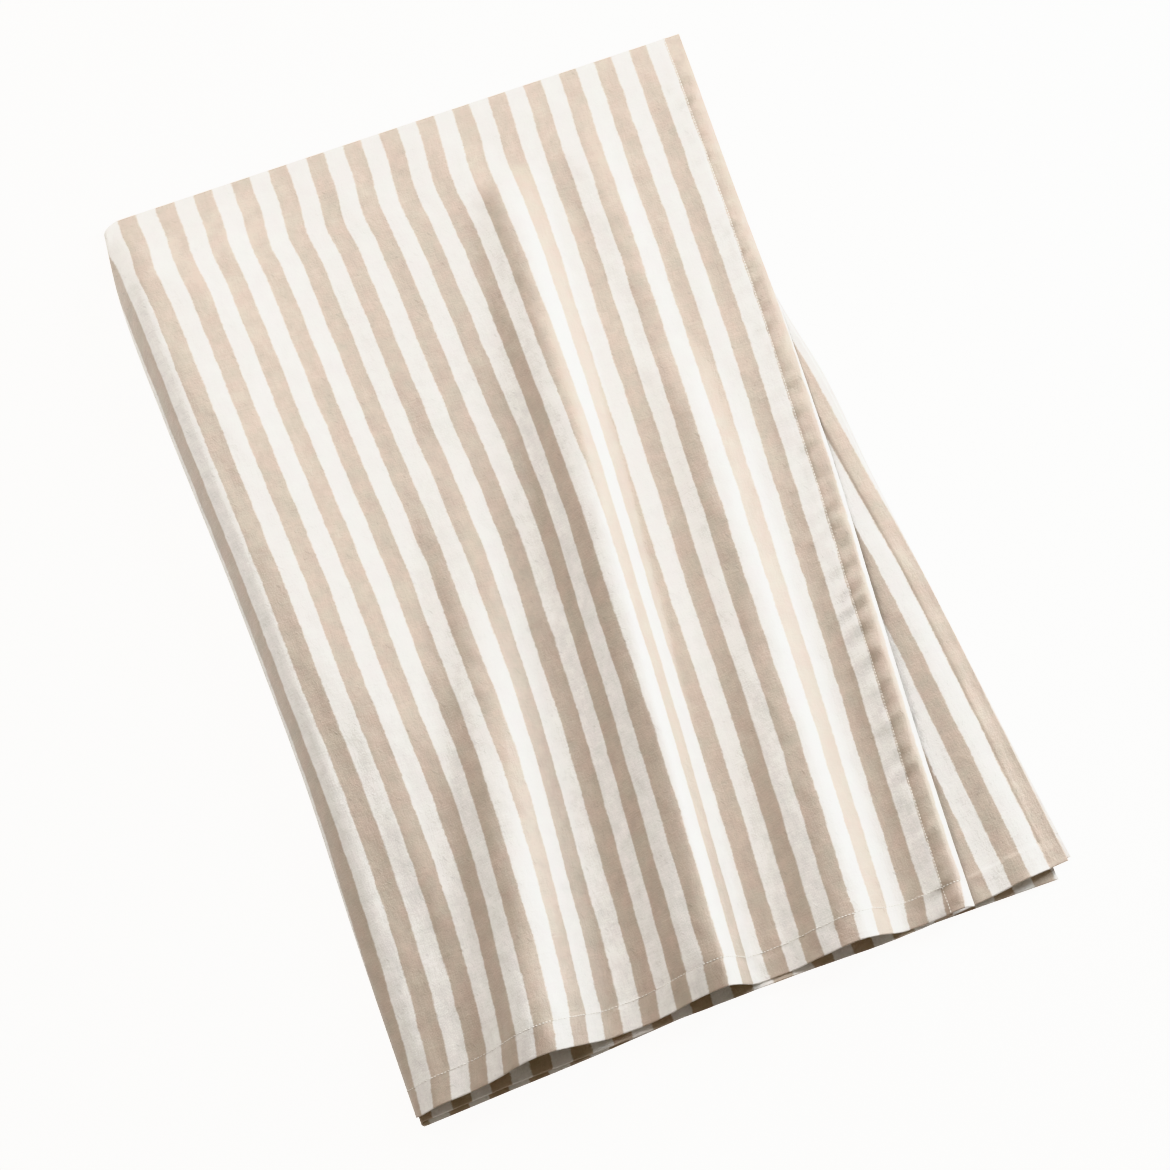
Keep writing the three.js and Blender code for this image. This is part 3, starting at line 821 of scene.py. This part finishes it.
def makeClothMaterial():
    material, tree, shader = newMaterial("stripedCotton")
    flat = addNode(tree, "ShaderNodeUVMap", uv_map="flatCloth").outputs["UV"]
    stripes = addNode(tree, "ShaderNodeGroup", node_tree=stripeGroup())
    weave = addNode(tree, "ShaderNodeGroup", node_tree=weaveGroup())
    for node in (stripes, weave):
        tree.links.new(flat, node.inputs["Flat"])
    tinted = ranged(tree, weave.outputs["Tint"], clothLook["tintRange"])
    white = mixed(tree, tinted, clothLook["white"], clothLook["whiteTinted"])
    beige = mixed(tree, tinted, clothLook["beige"], clothLook["beigeTinted"])
    colour = mixed(tree, stripes.outputs["Stripe"], white, beige)
    cloud = ranged(tree, weave.outputs["Cloud"], clothLook["cloudShade"])
    slub = ranged(tree, weave.outputs["Slub"], clothLook["slubShade"])
    fleck = maths(tree, "MULTIPLY", weave.outputs["Fleck"], clothLook["fleckShade"])
    plain = maths(tree, "SUBTRACT", 1.0, fleck)
    shade = maths(tree, "MULTIPLY", maths(tree, "MULTIPLY", cloud, slub), plain)
    shaded = addNode(tree, "ShaderNodeVectorMath", {0: colour, "Scale": shade}, operation="SCALE")
    tree.links.new(shaded.outputs[0], shader.inputs["Base Color"])
    raised = addNode(tree, "ShaderNodeBump", {
        "Height": weave.outputs["Height"], "Distance": clothLook["bumpDistance"],
        "Strength": clothLook["bumpStrength"]})
    tree.links.new(raised.outputs["Normal"], shader.inputs["Normal"])
    shader.inputs["Roughness"].default_value = clothLook["roughness"]
    shader.inputs["Specular IOR Level"].default_value = clothLook["specular"]
    shader.inputs["Sheen Weight"].default_value = clothLook["sheen"]
    shader.inputs["Sheen Roughness"].default_value = clothLook["sheenRoughness"]
    return material


def makeThreadMaterial():
    material, _, shader = newMaterial("hemThread")
    shader.inputs["Base Color"].default_value = threadLook["colour"]
    shader.inputs["Roughness"].default_value = threadLook["roughness"]
    shader.inputs["Sheen Weight"].default_value = threadLook["sheen"]
    return material


clothMaterial = makeClothMaterial()
sheet, seamLines = makeSheet(clothMaterial)
stitches = makeStitches(seamLines, makeThreadMaterial())
for piece in (sheet, stitches):
    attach(piece, "root")
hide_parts("tablecloth")

# The floor, which glows to the camera alone, and the light. Sizes and places are in metres.
studio = {
    "floorSize": 14, "floorDrop": 0.0010, "floorColour": (0.95, 0.95, 0.95, 1), "floorGlow": 2.2,
    "floorRoughness": 0.9, "floorSpecular": 0.1,
    "worldStrength": 0.37, "worldColour": (1.0, 0.91, 0.785, 1),
    "keyColour": (0.92, 0.975, 1.0), "fillColour": (1.0, 0.99, 0.97),
    "keyPower": 148, "keySize": (0.8, 2.0), "keyFrom": (2.9, 0.5, 0.92),
    "fillPower": 137, "fillSize": (2.4, 2.0), "fillFrom": (-0.5, 2.6, 3.0),
}


def makeFloor():
    half, low = studio["floorSize"] / 2, -studio["floorDrop"]
    verts = np.array([(-half, -half, low), (half, -half, low), (half, half, low), (-half, half, low)])
    material, tree, shader = newMaterial("paleFloor")
    shader.inputs["Base Color"].default_value = studio["floorColour"]
    shader.inputs["Roughness"].default_value = studio["floorRoughness"]
    shader.inputs["Specular IOR Level"].default_value = studio["floorSpecular"]
    glow = addNode(tree, "ShaderNodeEmission", {
        "Color": studio["floorColour"], "Strength": studio["floorGlow"]})
    path = addNode(tree, "ShaderNodeLightPath")
    both = addNode(tree, "ShaderNodeAddShader", {0: shader.outputs[0], 1: glow.outputs[0]})
    seen = addNode(tree, "ShaderNodeMixShader", {
        "Fac": path.outputs["Is Camera Ray"], 1: shader.outputs[0], 2: both.outputs[0]})
    tree.links.new(seen.outputs[0], tree.nodes["Material Output"].inputs["Surface"])
    newMesh("floor", verts, [(0, 1, 2, 3)], material, False)


# A lamp named in studio, turned towards the origin.
def addLamp(name):
    lamp = bpy.data.lights.new(name, "AREA")
    lamp.color = studio[name + "Colour"]
    lamp.shape = "RECTANGLE"
    lamp.size, lamp.size_y = studio[name + "Size"]
    lamp.energy = studio[name + "Power"]
    place = Vector(studio[name + "From"])
    holder = bpy.data.objects.new(name, lamp)
    holder.location = place
    holder.rotation_euler = (-place).to_track_quat("-Z", "Y").to_euler()
    bpy.context.scene.collection.objects.link(holder)


def lightStudio():
    world = bpy.data.worlds.new("studio")
    world.use_nodes = True
    background = world.node_tree.nodes["Background"]
    background.inputs["Color"].default_value = studio["worldColour"]
    background.inputs["Strength"].default_value = studio["worldStrength"]
    bpy.context.scene.world = world
    addLamp("key")
    addLamp("fill")
    bpy.context.scene.view_settings.view_transform = "Khronos PBR Neutral"


# The photograph looks down at the cloth, 20 degrees off square towards its bottom hem, and
# the cloth lies turned in the frame.
view = {
    "target": (0.0065, -0.0553, 0), "tilt": 20, "roll": 19.3, "distance": 3.6,
    "lens": 96.48, "sensor": 36, "clipEnd": 60,
}


# The camera stands off along a line tilted from square, and is rolled about that line.
def makeCamera():
    tilt, roll = np.radians(view["tilt"]), np.radians(view["roll"])
    back = Vector((0, -np.sin(tilt), np.cos(tilt)))
    rightward = Vector((1, 0, 0))
    upward = Vector((0, np.cos(tilt), np.sin(tilt)))
    right = rightward * np.cos(roll) - upward * np.sin(roll)
    up = upward * np.cos(roll) + rightward * np.sin(roll)
    lens = bpy.data.cameras.new("camera")
    lens.lens = view["lens"]
    lens.sensor_width = view["sensor"]
    lens.clip_end = view["clipEnd"]
    camera = bpy.data.objects.new("camera", lens)
    place = Vector(view["target"]) + back * view["distance"]
    camera.matrix_world = Matrix.Translation(place) @ Matrix((right, up, back)).transposed().to_4x4()
    bpy.context.scene.collection.objects.link(camera)
    bpy.context.scene.camera = camera


makeFloor()
lightStudio()
makeCamera()
print("studio ready")
